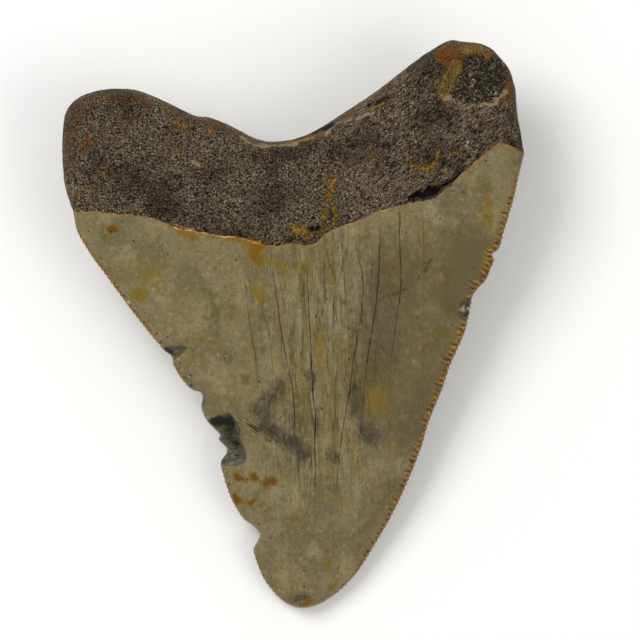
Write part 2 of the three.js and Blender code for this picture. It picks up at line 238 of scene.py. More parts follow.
def distance_from(points, x, y):
    """How far each place is from the nearest of many points."""
    tree = kdtree.KDTree(len(points))
    for i, point in enumerate(points):
        tree.insert((point[0], point[1], 0), i)
    tree.balance()
    return np.array([tree.find((a, b, 0))[2] for a, b in zip(x, y)])


def distance_to_chain(points, x, y):
    """How far each place is from a chain of straight lines, or from a single point."""
    corners = np.array([*points, points[-1]], float)
    nearest = np.full(len(x), np.inf)
    for start, end in zip(corners, corners[1:]):
        side = end - start
        along = ((x - start[0]) * side[0] + (y - start[1]) * side[1]) / max(side @ side, 1e-9)
        along = np.clip(along, 0, 1)
        away = np.hypot(x - start[0] - along * side[0], y - start[1] - along * side[1])
        nearest = np.minimum(nearest, away)
    return nearest


def depth_inside(corners, x, y):
    """How far inside an outline each place is, and below zero outside it."""
    crossings = np.zeros(len(x), int)
    for (ax, ay), (bx, by) in zip(corners, corners[1:] + corners[:1]):
        beside = (ay > y) != (by > y)
        crossings += beside & (x < ax + (bx - ax) * (y - ay) / (by - ay if by != ay else 1))
    away = distance_to_chain(corners + corners[:1], x, y)
    return np.where(crossings % 2 == 1, away, -away)


def mark_cover(marks, x, y):
    """How strong the marks are at each place. A mark is (half width, strength, points it runs along)."""
    cover = np.zeros(len(x))
    for half_width, strength, *points in marks:
        cover = np.maximum(cover, strength * (1 - (distance_to_chain(points, x, y) / half_width) ** 2))
    return cover


def edge_height(y):
    """The cutting edge climbs evenly from the tip to the root."""
    return EDGE_HEIGHT_AT_TIP + EDGE_RISE * (y - TIP_Y)


def hollow_depth(hollows, x, y):
    """Bowl-shaped hollows, a little steeper at their rims than a parabola."""
    total = np.zeros_like(x)
    for cx, cy, rx, ry, depth in hollows:
        reach = ((x - cx) / rx) ** 2 + ((y - cy) / ry) ** 2
        total += depth * np.clip(1 - reach, 0, 1) ** 0.7
    return total


def lumps(x, y):
    """Low lumps of the bone, in waves that never line up."""
    broad = 0.13 * np.sin(0.9 * x + 0.7 * np.sin(0.5 * y)) * np.cos(0.8 * y + 0.4 * x)
    return broad + 0.1 * np.sin(1.9 * x - 0.8 * y + 1.3) * np.sin(1.5 * y + 0.6 * x + 0.4)


def lip_root_wear(x, y):
    """How far wear lowers the root on the lip side."""
    facet = FACET_DEPTH * smooth(depth_inside(FACET, x, y), *WALL)
    shoulder = SHOULDER_DROP * smooth(y - shoulder_height(x), 0, SHOULDER_SLOPE)
    shoulder *= smooth(np.abs(x - SHOULDER_MIDDLE), SHOULDER_END, SHOULDER_FULL)
    return hollow_depth(ROOT_HOLLOWS, x, y) + mark_cover(GROOVES, x, y) + facet + shoulder


def flake_depth(x, y):
    """How far the flake scars cut into the crown: steep walls round nearly flat floors."""
    depths = [depth * smooth(depth_inside(corners, x, y), *WALL) for depth, corners in SCARS]
    return np.max(depths, axis=0)


def face_heights(x, y, root, neck):
    """Heights of the lip face and the tongue face before the rim is rounded."""
    left, right = left_flank(y), right_flank(y)
    inset = np.clip((x - left) * (right - x), 0, None) / (right - left)
    fullness = 4 * inset / (right - left)
    lip = edge_height(y) + LIP_BEVEL * (1 - np.exp(-inset / LIP_BEVEL_WIDTH)) + LIP_ARCH * fullness
    squareness = mix(CROWN_SQUARENESS, ROOT_SQUARENESS, smooth(y - lip_line_height(x), -6, 6))
    tongue = edge_height(y) - tongue_depth(y) * fullness**squareness
    worn = ENAMEL_STEP - lumps(x, y) + lip_root_wear(x, y)
    flaked = np.minimum(flake_depth(x, y), DEEPEST_SCAR * (lip - tongue))
    lip -= np.where(root | neck, worn, flaked)
    relief = np.where(root, lumps(y, x) + hollow_depth(TONGUE_HOLLOWS, x, y), 0)
    tongue = tongue + np.where(neck, NECK_STEP, 0) + relief * smooth(tongue, 0.1, 0.6)
    return lip, np.maximum(tongue, 0)


def rim_rounding(x, y):
    """How far in from the rim the two faces start to round over to it."""
    in_root = smooth(y - lip_line_height(x), 0, 5)
    notch = np.exp(-((x / NOTCH_REACH) ** 2))
    return mix(EDGE_ROUNDING, mix(LOBE_ROUNDING, NOTCH_ROUNDING, notch), in_root)


# Each half starts as a flat sheet. Its columns run round the cutting edge, one to a serration, and
# its rows run from the cutting edge to the rim of the root, so a place on the sheet is a share of
# the way round and a row. The rows nearest the edge get four times the columns, for the serrations.
COLUMNS = serrations
FINE_ROWS = 5
INNER_INSET = 3.6
INNER_SMOOTHING = 4.5
EDGE_SAMPLES = 4000
ROOT_SAMPLES = 3000
ENAMEL, BONE, NECK = 0, 1, 2


def inner_edge(u):
    """A smooth line beside the cutting edge, which the rows reach square to the edge."""
    to_corner = np.minimum(u, 1 - u)
    spread = np.minimum(INNER_SMOOTHING / cutting_edge.length, to_corner)

    def smoothed(at):
        return np.mean([cutting_edge(at + k * spread) for k in np.linspace(-1, 1, 15)], axis=0)

    ahead = smoothed(np.minimum(u + 2e-3, 1 - spread)) - smoothed(np.maximum(u - 2e-3, spread))
    ahead /= np.linalg.norm(ahead, axis=1)[:, None] + 1e-9
    inset = INNER_INSET * (1 - np.exp(-to_corner * cutting_edge.length / (2 * INNER_INSET)))
    return smoothed(u) + np.stack([-ahead[:, 1], ahead[:, 0]], 1) * inset[:, None]


def edge_shares(t):
    """Rows closer together towards the cutting edge."""
    return mix(t * t, t, 0.5)


def root_shares(t):
    """Rows closer together at both ends of their band."""
    return mix(t, smooth(t, 0, 1), 0.7)


def even_shares(t):
    return t


# A band is its number of rows, the lines it runs between, how its rows are spread, and its part.
LIP_BANDS = [
    (20, cutting_edge, inner_edge, edge_shares, ENAMEL),
    (90, inner_edge, lip_line, even_shares, ENAMEL),
    (70, lip_line, root_edge, root_shares, BONE),
]
TONGUE_BANDS = [
    (14, cutting_edge, inner_edge, edge_shares, ENAMEL),
    (66, inner_edge, tongue_line, even_shares, ENAMEL),
    (12, tongue_line, neck_line, root_shares, NECK),
    (54, neck_line, root_edge, root_shares, BONE),
]
edge_points = cutting_edge(np.linspace(0, 1, EDGE_SAMPLES))
outline_points = np.vstack([edge_points, root_edge(np.linspace(0, 1, ROOT_SAMPLES))])


# The end of the enamel strays in waves of (how far, size), which die away beside it.
RAGGED_WAVES = [(0.2, 1.6), (0.22, 0.6)]
RAGGED_REACH = 1.6


def ragged(u):
    """Uneven enamel: how far its end strays along the tooth."""
    spots = [Vector((lip_line.length * share, 0.5, 0)) for share in u]
    waves = [sum(far * noise.noise(spot / size) for far, size in RAGGED_WAVES) for spot in spots]
    return np.array(waves) * smooth(np.minimum(u, 1 - u), 0, 0.02)


def flat_sheet(name, rows):
    bpy.ops.object.select_all(action="DESELECT")
    bpy.ops.mesh.primitive_grid_add(x_subdivisions=COLUMNS, y_subdivisions=rows, size=2)
    sheet = bpy.context.object
    sheet.name = name
    mesh = sheet.data
    step = 2 / rows
    for item in (*mesh.vertices, *mesh.polygons):
        item.select = False
    for edge in mesh.edges:
        a, b = (mesh.vertices[i].co for i in edge.vertices)
        edge.select = abs(a.y - b.y) < step / 2 and a.y < -1 + (FINE_ROWS + 0.5) * step
    bpy.ops.object.mode_set(mode="EDIT")
    bpy.ops.mesh.select_mode(type="EDGE")
    bpy.ops.mesh.subdivide(number_cuts=3)
    bpy.ops.object.mode_set(mode="OBJECT")
    return sheet


def read(items, field, width=3):
    """All the numbers of a field, a row to each item."""
    values = np.zeros(len(items) * width)
    items.foreach_get(field, values)
    return values.reshape(-1, width)


def read_kept(mesh, name):
    return read(mesh.attributes[name].data, "value", 1)[:, 0]


def keep(mesh, name, values):
    """Keeps one number for each vertex, for the materials."""
    layer = mesh.attributes.get(name) or mesh.attributes.new(name, "FLOAT", "POINT")
    layer.data.foreach_set("value", np.ascontiguousarray(values, np.float32))


def spread_on_tooth(bands, u, row):
    """Where each vertex of a sheet goes, seen from above, and its part of the tooth."""
    xy = np.zeros((len(u), 2))
    part = np.zeros(len(u), int)
    start = 0
    for count, low_line, high_line, shares, slot in bands:
        inside = (row > start + 1e-3) | (start == 0)
        t = shares(np.clip((row - start) / count, 0, 1))[:, None]
        xy = np.where(inside[:, None], mix(low_line(u), high_line(u), t), xy)
        part = np.where(inside, slot, part)
        start += count
    return xy[:, 0], xy[:, 1], part


def part_of_faces(bands, row):
    """The part of each face. The step down from the enamel is still enamel."""
    part = np.zeros(len(row), np.int32)
    start = 0
    for count, _, _, _, slot in bands:
        part[row > start + (slot != ENAMEL)] = slot
        start += count
    return part


def serration_notch(u, inset):
    """Rounded steps parted by narrow, uneven notches, and gone where the edge is chipped."""
    edge = cutting_edge(u)
    uneven = 0.75 + 0.35 * np.sin(0.83 * serrations * u) * np.sin(0.31 * serrations * u + 1.0)
    sound = np.min([np.hypot(edge[:, 0] - cx, edge[:, 1] - cy) / r for cx, cy, r in CHIPPED], axis=0)
    notch = (0.5 - 0.5 * np.cos(2 * math.pi * serrations * u)) ** 1.5 * uneven
    notch *= smooth(sound, 0.8, 1.2) * smooth(np.minimum(u, 1 - u), 0.005, 0.03)
    return notch * np.clip(1 - inset / SERRATION_LENGTH, 0, 1)


# The stained, worn margin along the cutting edge is wider on the right: (share of its way, width).
MARGIN_WIDTHS = [(0.0, 0.1), (0.05, 0.7), (0.42, 0.7), (0.55, 0.7), (0.66, 1.2), (0.93, 1.35), (0.99, 0.1)]


def shape_half(name, bands, enamel_line, faces_up):
    """One half of the tooth, with the numbers that the materials need kept on its vertices."""
    rows = sum(band[0] for band in bands)
    sheet = flat_sheet(name, rows)
    mesh = sheet.data
    place = read(mesh.vertices, "co")
    u, row = (place[:, 0] + 1) / 2, (place[:, 1] + 1) / 2 * rows
    x, y, part = spread_on_tooth(bands, u, row)
    enamel_end = enamel_line(u)
    off_line = np.hypot(x - enamel_end[:, 0], y - enamel_end[:, 1])
    y = y + ragged(u) * (1 - smooth(off_line, 0, RAGGED_REACH))
    inset = distance_from(edge_points, x, y)
    notch = serration_notch(u, inset) * (part == ENAMEL)

    lip, tongue = face_heights(x, y, part == BONE, part == NECK)
    lip, tongue = lip - 0.5 * SERRATION_DEPTH * notch, tongue + 0.5 * SERRATION_DEPTH * notch
    to_rim = distance_from(outline_points, x, y)
    reach = np.clip(to_rim / rim_rounding(x, y), 0, 1)
    on_rim = (row < 1e-3) | (row > rows - 1e-3)
    round_over = np.where(on_rim, 0, np.sqrt(1 - (1 - reach) ** 2))
    z = mix((lip + tongue) / 2, lip if faces_up else tongue, round_over)
    ahead, behind = cutting_edge(np.clip(u + 1e-4, 0, 1)), cutting_edge(np.clip(u - 1e-4, 0, 1))
    along = (ahead - behind) / np.linalg.norm(ahead - behind, axis=1)[:, None]
    x, y = x - along[:, 1] * notch * SERRATION_DEPTH, y + along[:, 0] * notch * SERRATION_DEPTH
    keep(mesh, "faces_up", np.full(len(u), float(faces_up)))
    keep(mesh, "bone", part == BONE)
    keep(mesh, "sunk", lip - z)
    keep(mesh, "to_rim", to_rim)
    keep(mesh, "off_line", off_line)
    from_edge = np.hypot(inset, z - edge_height(y))
    keep(mesh, "from_edge", from_edge)
    keep(mesh, "margin", from_edge / level_through(MARGIN_WIDTHS)(u))
    keep(mesh, "serration", u * serrations)
    face_part = part_of_faces(bands, (read(mesh.polygons, "center")[:, 1] + 1) / 2 * rows)
    mesh.attributes.new("part", "INT", "FACE").data.foreach_set("value", face_part)
    mesh.vertices.foreach_set("co", np.stack([x, y, z], 1).ravel() * MM)
    return sheet


lip_half = shape_half("lip_half", LIP_BANDS, lip_line, True)
tongue_half = shape_half("tongue_half", TONGUE_BANDS, tongue_line, False)
bpy.ops.object.select_all(action="DESELECT")
tongue_half.select_set(True)
bpy.context.view_layer.objects.active = tongue_half
bpy.ops.object.mode_set(mode="EDIT")
bpy.ops.mesh.select_all(action="SELECT")
bpy.ops.mesh.flip_normals()
bpy.ops.object.mode_set(mode="OBJECT")
lip_half.select_set(True)
bpy.context.view_layer.objects.active = lip_half
bpy.ops.object.join()
tooth = lip_half
tooth.name = "fossil_tooth"
bpy.ops.object.mode_set(mode="EDIT")
bpy.ops.mesh.select_mode(type="VERT")
bpy.ops.mesh.select_all(action="SELECT")
bpy.ops.mesh.remove_doubles(threshold=0.012 * MM)
bpy.ops.mesh.dissolve_degenerate(threshold=0.002 * MM)
bpy.ops.object.mode_set(mode="OBJECT")
bpy.ops.object.shade_smooth()

# The bone of the root lost its smooth skin. It is eroded inwards in soft lumps and small pits, least
# along its rim, and only the worn flat that the tooth lies on stays plain. Lumps are (height, size),
# and pits (how far apart, how wide as a share of that).
MEAN_EROSION = 0.15
EROSION_LUMPS = [(0.13, 2.3), (0.12, 1.05), (0.1, 0.55)]
PIT_DEPTH = 0.28
LARGE_PITS = (1.7, 0.42)
SMALL_PITS = (0.9, 0.4)
PATCH_SIZE = 5
mesh = tooth.data
place = read(mesh.vertices, "co") / MM
x, y, z = place.T
upper = read_kept(mesh, "faces_up") > 0.5
eroded = read_kept(mesh, "bone") * smooth(read_kept(mesh, "off_line"), 0.05, 0.5) * smooth(z, 0.05, 0.5)
eroded *= mix(0.25, 1, smooth(read_kept(mesh, "to_rim"), 0, 2.5))


def pit(spot, size, width):
    """1 in the middle of scattered round pits, 0 outside them."""
    near, _ = noise.voronoi(spot / size)
    return max(0.0, 1 - near[0] / width)


erosion = np.zeros(len(x))
pits = np.zeros(len(x))
for i in np.flatnonzero(eroded > 0):
    spot = Vector(place[i])
    # Large pits come in patches, and fainter small ones are everywhere.
    in_patch = noise.noise(spot / PATCH_SIZE) > -0.1
    pits[i] = in_patch * pit(spot, *LARGE_PITS) + 0.7 * pit(spot, *SMALL_PITS)
    lumpy = sum(height * noise.noise(spot / size) for height, size in EROSION_LUMPS)
    erosion[i] = max(MEAN_EROSION + lumpy, 0) + PIT_DEPTH * math.sqrt(pits[i])
place -= read(mesh.vertex_normals, "vector") * (erosion * eroded)[:, None]
place[:, 2] = np.maximum(place[:, 2], 0)
mesh.vertices.foreach_set("co", place.ravel() * MM)
keep(mesh, "pits", pits)

# What the sea bed left on the fossil, with painted light among it. Iron stained it ochre and rust, clay
# left pale tan, and other minerals left olive, brown and smoky grey. The black marks that line the deep
# places are painted shade, in the grooves, the hollows and the walls of the flake scars, and many of
# the pale marks are painted highlights.
LIP_MARKS = {
    "clay": [
        (1.6, 1.3, (22.6, 34.8), (23.2, 36.6), (24.4, 38.8)),
        (1.4, 1.2, (25.6, 41.2), (27.6, 41.4), (29.0, 40.6)),
        (0.8, 0.6, (31.8, 37.6), (32.8, 34.6), (33.0, 31.0)), (1.0, 0.5, (19.0, 39.4), (12.0, 34.6)),
        (1.4, 0.75, (3.0, 29.6), (8.0, 32.4), (13.5, 35.8)), (0.7, 0.8, (6.4, 31.0), (8.6, 32.2)),
        (0.6, 0.8, (-7.2, 28.2), (-4.6, 27.4), (-1.6, 27.2)), (1.6, 0.45, (-33.6, 29.0), (-33.2, 22.0)),
        (2.2, 0.5, (-33.0, 30.4), (-31.0, 33.0), (-28.4, 34.2), (-24.5, 34.4), (-21.5, 33.4)),
        (1.3, 0.7, (-18.6, 33.0), (-14.0, 31.0), (-9.0, 29.4), (-4.5, 27.8), (0.0, 27.8)),
        (1.6, 0.4, (-26.0, 30.4), (-24.0, 30.0)), (1.4, 0.4, (30.0, 30.6), (31.4, 29.4)),
    ],
    "ochre": [
        (1.1, 0.7, (-17.4, 30.1), (-16.2, 29.5)), (0.5, 0.7, (-19.1, 32.7), (-18.9, 32.1)),
        (0.55, 0.9, (-13.1, 29.3), (-12.2, 29.1)), (0.45, 0.8, (-17.3, 26.2), (-16.7, 26.7)),
        (0.45, 0.8, (-29.0, 22.7), (-28.2, 22.9)), (0.4, 0.8, (-30.7, 20.7), (-30.0, 20.5)),
        (0.4, 0.8, (-31.9, 19.9), (-31.8, 19.4)), (0.35, 0.8, (-12.4, 19.7)), (0.4, 0.7, (-8.4, 29.2)),
        (0.5, 0.6, (-22.8, 33.7)), (1.0, 0.75, (6.0, 21.9), (5.5, 20.4), (5.3, 19.0)),
        (0.75, 0.8, (4.9, 17.1), (4.8, 16.4)), (1.4, 0.85, (0.6, 14.3), (2.2, 13.9)),
        (0.5, 0.8, (3.4, 13.6), (5.0, 14.4), (6.6, 16.2)), (0.5, 0.75, (6.5, 17.6), (6.3, 16.2)),
        (0.6, 0.75, (17.6, 24.2), (19.0, 23.5), (20.4, 23.3)), (0.75, 0.8, (19.4, 23.4), (21.0, 23.9)),
        (0.4, 0.8, (21.3, 24.2), (21.5, 26.0)), (0.65, 0.8, (24.0, 25.9), (24.6, 25.5)),
        (0.5, 0.7, (11.1, 25.3), (12.0, 24.6)), (0.35, 0.8, (13.6, 23.1)), (0.4, 0.7, (16.8, 24.1)),
        (0.4, 0.8, (19.9, 34.0)), (0.5, 0.7, (26.2, 31.7), (27.2, 30.6)), (0.4, 0.6, (2.0, 25.2)),
        (0.6, 0.95, (-1.2, 27.5), (0.9, 27.7), (3.0, 28.0)), (0.5, 0.9, (4.2, 28.5), (5.4, 28.9)),
        (0.45, 0.9, (11.7, 32.5), (13.6, 33.4)), (0.6, 0.5, (25.6, 41.6), (28.2, 41.2), (29.4, 40.2)),
        (0.6, 0.5, (22.9, 35.2), (23.5, 37.0), (24.4, 39.0), (25.2, 40.2)),
        (1.7, 1.35, (-5.5, 11.9), (-5.2, 9.8)), (0.8, 1.0, (-16.8, 13.8), (-14.4, 13.1)),
        (0.8, 1.0, (-9.8, 13.0), (-7.0, 12.6), (-4.4, 11.8)), (1.1, 0.8, (-2.9, 9.6), (-1.7, 8.5)),
        (1.7, 0.8, (-5.4, 5.3), (-5.0, 4.6)), (1.3, 1.0, (-23.3, 4.7), (-22.9, 4.3)),
        (0.7, 1.1, (-13.7, -2.2), (-13.6, -2.4)), (1.1, 0.9, (0.9, 8.9), (1.6, 8.9)),
        (1.3, 0.6, (4.2, -1.5), (4.2, -6.0)), (2.6, 0.75, (12.4, -10.9), (12.5, -11.5)),
        (0.6, 1.1, (15.0, -18.1), (15.6, -18.3)), (0.55, 1.1, (5.35, -35.1), (5.35, -35.9)),
        (0.6, 0.85, (-2.7, -36.8)), (0.6, 0.85, (-0.75, -36.7)), (0.5, 0.9, (2.05, -37.9)),
        (0.7, 0.85, (5.6, -39.6), (6.8, -38.8)), (0.6, 1.1, (29.1, 19.0), (29.4, 17.8)),
        (1.4, 0.8, (29.0, 17.2), (29.2, 15.4)), (1.2, 0.75, (30.0, 11.5), (29.3, 9.5)),
        (3.4, 0.4, (-23.0, 8.0), (-20.5, 6.5)), (1.6, 0.35, (9.8, 13.0), (11.0, 14.2)),
    ],
    "rust": [
        (2.2, 1.1, (22.4, 40.6), (23.6, 41.0)), (1.2, 0.9, (22.8, 39.2)),
        (0.9, 0.9, (32.4, 35.8), (31.9, 33.9), (30.9, 33.3)), (0.9, 0.9, (6.8, 31.2), (9.8, 33.2)),
        (0.5, 0.7, (12.9, 35.2), (13.3, 35.4)), (1.4, 0.6, (-31.0, 28.0), (-31.3, 26.4)),
        (1.4, 0.45, (-33.4, 29.5), (-33.2, 26.0)), (0.6, 0.6, (-14.0, 31.0), (-9.0, 29.4)),
        (1.8, 0.35, (-33.2, 30.6), (-31.2, 33.2), (-28.6, 34.4)),
        (0.85, 1.2, (-27.5, 14.2), (-26.7, 14.4)), (0.95, 1.15, (-8.7, -22.4), (-8.3, -23.0)),
        (0.8, 0.95, (-7.8, -23.2), (-7.3, -23.5)), (0.85, 1.1, (-6.1, -22.6), (-5.7, -23.2)),
        (0.85, 1.1, (-4.0, -23.8), (-2.6, -23.6)), (0.8, 1.2, (-8.5, -25.9), (-8.2, -26.4)),
        (0.85, 1.1, (-6.4, -26.9), (-6.0, -26.2)), (0.7, 0.9, (1.8, -41.9), (2.6, -41.8)),
    ],
    # The pale marks are partly real pale spots and partly painted highlights: lines along the ridge above
    # the notch, the rim of the worn flat, the step at the end of the enamel and the rims of flake scars.
    "pale": [
        (0.4, 1.35, (-8.0, 28.2), (-6.1, 27.3), (-4.2, 26.8), (-0.8, 26.9), (0.8, 27.2)),
        (0.4, 1.15, (4.8, 28.7), (6.6, 30.1), (9.3, 31.0), (11.9, 31.7)),
        (0.35, 1.15, (22.2, 34.3), (23.9, 33.5), (25.4, 33.0), (26.7, 33.2), (28.4, 33.0), (29.8, 33.1),
         (31.0, 33.9), (31.8, 35.2)),
        (0.5, 0.8, (27.6, 32.9), (29.2, 32.9)), (0.6, 1.0, (-14.9, 24.6), (-14.2, 24.0)),
        (0.3, 0.8, (-34.0, 30.2)), (0.4, 0.7, (-24.4, 22.7)), (0.3, 0.9, (28.8, 36.7), (29.0, 36.9)),
        (0.28, 1.2, (-18.0, 15.2), (-15.9, 14.4), (-14.5, 14.1)), (0.5, 1.1, (-24.6, 4.1), (-24.4, 3.3)),
        (0.2, 0.9, (-17.2, -4.9), (-15.2, -4.1)), (0.35, 1.0, (10.2, -23.6), (10.8, -23.8)),
        (0.2, 0.9, (9.3, -19.0), (9.8, -19.9), (10.4, -20.6)), (0.35, 1.1, (25.2, 2.6), (26.7, 2.55)),
        (0.2, 0.9, (24.8, 1.1), (26.4, 1.0)), (1.5, 0.55, (-9.8, -20.3), (-8.0, -20.0)),
    ],
    "olive": [
        (0.6, 0.9, (-30.3, 15.4)), (0.8, 0.7, (-28.9, 13.3), (-27.6, 13.0)),
        (1.4, 1.0, (22.3, -1.1), (22.7, -1.1)), (1.2, 0.9, (-7.2, -7.7), (-7.2, -8.3)),
        (1.1, 1.0, (1.9, -9.8), (1.9, -10.5)), (0.7, 0.8, (1.7, -0.5), (1.6, -7.0)),
        (0.55, 1.1, (1.1, 8.0), (1.4, 4.6), (1.9, 2.0)), (0.9, 0.9, (10.1, -6.2), (10.0, -7.9)),
        (1.7, 0.9, (28.2, 21.4), (28.6, 20.2)), (0.5, 1.0, (13.4, 12.1), (12.6, 10.0)),
        (1.1, 0.7, (10.2, 10.4), (10.8, 9.8)), (1.2, 0.7, (13.8, -8.6), (14.0, -12.0)),
        (0.35, 0.8, (16.5, 2.8)), (0.3, 0.8, (18.6, 1.4)), (2.4, 0.5, (-13.0, 4.5), (-12.0, 1.0)),
    ],
    "smoke": [
        (2.4, 0.9, (-2.0, -9.6), (-4.0, -11.6)), (2.2, 0.9, (-5.4, -12.6), (-3.6, -13.6)),
        (1.9, 1.05, (-4.3, -15.2), (-1.4, -16.8), (1.6, -19.0)), (1.2, 0.65, (-9.75, -4.5), (-9.75, -5.3)),
        (1.1, 0.8, (2.5, -7.2), (2.7, -9.2)), (2.4, 0.85, (10.8, -16.0), (12.0, -17.0)),
        (1.6, 0.8, (9.2, -9.0), (9.4, -12.4)), (1.7, 0.7, (5.6, -19.2), (6.6, -19.8)),
        (0.6, 1.0, (14.25, 14.8)), (7.0, 0.45, (13.0, 6.0), (12.0, -4.0)), (0.8, 0.8, (23.7, -5.3)),
        (0.5, 0.8, (13.2, 4.3), (15.0, 4.8), (17.1, 5.3)), (1.4, 0.9, (0.8, -41.2), (2.2, -41.4)),
        (0.45, 0.8, (20.7, 9.8), (18.9, 7.1)), (0.45, 0.8, (11.1, 13.6), (10.0, 12.4)),
        (3.5, 0.45, (-1.0, -14.0), (3.0, -16.0)), (2.0, 0.45, (-4.0, 3.0), (-3.8, -3.0)),
        (1.1, 0.5, (-1.4, -26.2)), (1.6, 0.4, (0.3, -28.3)), (1.6, 0.4, (-12.6, 6.4), (-11.0, -2.0)),
    ],
    "brown": [
        (6.0, 1.2, (26.5, 11.0), (25.0, 5.0)), (5.0, 0.9, (21.5, -4.0), (17.0, -16.0)),
        (3.0, 0.5, (14.0, -24.0), (11.0, -30.0)), (8.0, 0.9, (16.0, 8.0), (13.0, -10.0)),
    ],
    # Painted shade: black in the grooves, the hollows and along the walls of the flake scars.
    "painted_shade": [
        (0.6, 0.9, (26.6, 28.9), (28.0, 28.9)), (0.7, 1.0, (2.7, 14.7), (3.8, 14.5)),
        (0.4, 0.7, (-26.2, 23.9), (-25.0, 23.7)), (1.2, 1.2, (-12.2, -14.6), (-9.8, -14.2)),
        (1.5, 0.7, (-9.9, -15.6), (-8.8, -17.6)), (0.7, 1.1, (-9.0, -14.4), (-9.2, -15.6)),
        (0.5, 1.0, (-8.9, -17.5), (-8.2, -17.9)),
        (0.3, 1.1, (-12.0, -16.7)), (0.7, 1.2, (-19.2, -3.8), (-18.4, -4.2)),
        (0.35, 1.0, (-13.8, -10.2), (-13.7, -11.6)), (0.3, 1.2, (26.9, 3.8), (27.7, 5.0), (28.5, 5.9)),
        (0.5, 1.3, (25.4, 3.3), (26.3, 3.2)), (0.5, 1.2, (25.2, 1.9), (26.2, 1.8)),
    ],
}
TONGUE_MARKS = {
    "clay": [
        (2.4, 0.7, (-26.0, 24.0), (-20.0, 26.0)), (2.4, 0.7, (20.0, 30.0), (26.0, 36.0)),
        (1.8, 0.6, (-6.0, 14.0), (-3.0, 18.0)),
    ],
    "ochre": [
        (2.2, 0.5, (-13.0, 18.6), (-11.6, 19.4)), (2.0, 0.5, (5.2, 21.8), (6.4, 22.4)),
        (1.7, 0.5, (17.6, 25.2), (19.4, 26.6)), (1.8, 0.45, (-24.4, 27.0), (-23.8, 26.6)),
        (1.5, 0.7, (0.5, 12.9), (1.3, 12.9)), (1.2, 0.9, (8.0, -1.6), (8.2, -2.0)),
        (0.7, 1.0, (-5.0, -13.8), (-5.0, -14.4)), (0.8, 1.0, (-10.0, 3.0), (-6.0, 1.8)),
        (1.8, 0.5, (27.0, 32.4), (26.4, 33.4)),
    ],
    "rust": [
        (1.2, 0.9, (-30.0, 25.8), (-30.0, 22.4)), (0.8, 1.1, (11.0, -19.6), (11.0, -20.4)),
        (1.2, 0.9, (12.6, 29.0), (15.4, 31.0)),
    ],
    "pale": [
        (0.8, 0.8, (-18.4, 24.0), (-17.6, 24.0)), (0.8, 0.8, (2.8, 18.0), (3.4, 18.2)),
        (0.6, 0.9, (23.2, 21.4), (24.8, 22.6)),
    ],
    "olive": [
        (2.4, 0.9, (2.0, 0.0), (2.0, -12.0)), (2.6, 0.8, (13.4, 5.0), (14.6, 3.0)),
        (2.6, 0.7, (-14.4, 2.4), (-13.6, 1.6)),
    ],
    "smoke": [
        (2.4, 0.9, (-5.4, -1.6), (-6.8, -6.4)), (2.4, 0.9, (9.0, -12.8), (9.0, -15.2)),
        (2.4, 0.8, (17.6, 8.2), (18.4, 7.8)),
    ],
    "brown": [(6.0, 0.8, (-22.0, 10.0), (-14.0, -4.0)), (4.0, 0.6, (0.0, -30.0), (2.0, -36.0))],
    # The dark marks of the tongue side are painted shade in its hollows.
    "painted_shade": [(0.9, 1.0, (0.9, 13.4), (0.9, 12.4)), (0.5, 0.9, (-9.5, 20.8)), (0.6, 0.9, (13.6, 26.2))],
}
# A mark of the lip side fades on its way down the sides of the tooth. Its outline strays from the
# line that it is listed along, in waves of (how far, size).
SIDE_REACH = 2.2
SIDE_FADE = 0.35
STRAYS = [(0.55, 1.7), (0.3, 0.7)]
STRAY_SEED = 5
# How strongly the grooves are darkened with painted shade.
GROOVE_SHADE = 2.0
noise.seed_set(STRAY_SEED)
stray = np.zeros_like(place)
for i, spot in enumerate(place):
    for far, size in STRAYS:
        stray[i] += far * noise.noise_vector(Vector(spot) / size)
stained_x, stained_y = x + stray[:, 0], y + stray[:, 1]
sunk = np.clip(read_kept(mesh, "sunk") - SIDE_REACH, 0, None)
for kind, lip_marks in LIP_MARKS.items():
    on_lip = mark_cover(lip_marks, stained_x, stained_y) - SIDE_FADE * sunk
    on_tongue = mark_cover(TONGUE_MARKS[kind], stained_x, stained_y)
    keep(mesh, kind, np.where(upper, on_lip, on_tongue))
# The grooves are darkened with painted shade as well.
grooved = GROOVE_SHADE * mark_cover(GROOVES, stained_x, stained_y) * upper
keep(mesh, "painted_shade", np.maximum(read_kept(mesh, "painted_shade"), grooved))
depth_in_scar = np.max([depth_inside(corners, x, y) for _, corners in SCARS], axis=0)
keep(mesh, "scar", np.where(upper, depth_in_scar, -1))
keep(mesh, "facet", np.where(upper, depth_inside(FACET, x, y), -1))


def fades_from(points, reach):
    """1 along a chain of straight lines, and nearly 0 at twice the reach from it."""
    return np.exp(-((distance_to_chain(points, x, y) / reach) ** 2))


# The torn end of the enamel is stained orange in places, and a painted highlight runs along its step
# there: (x, how strongly). The middle of the crown is streaky, and something hard scuffed it beside
# the great scar.
TORN = [
    (-33.0, 0.3), (-19.5, 0.4), (-17.5, 1.0), (-14.8, 1.0), (-13.0, 0.4), (-10.0, 0.9), (-4.5, 1.0),
    (-3.0, 0.4), (1.0, 0.15), (6.0, 0.15), (9.0, 0.45), (13.0, 0.35), (17.0, 0.1), (24.0, 0.1),
    (27.0, 0.6), (34.0, 0.75),
]
STREAKY_MIDDLE = [(5.0, 8.0), (4.0, -18.0)]
SCUFFED_LINE = [(-7.2, -14.4), (-3.4, -16.9)]
keep(mesh, "torn", level_through(TORN)(x))
keep(mesh, "streaky", 0.5 * fades_from(STREAKY_MIDDLE, 9))
keep(mesh, "scuffed", 0.95 * fades_from(SCUFFED_LINE, 0.9))

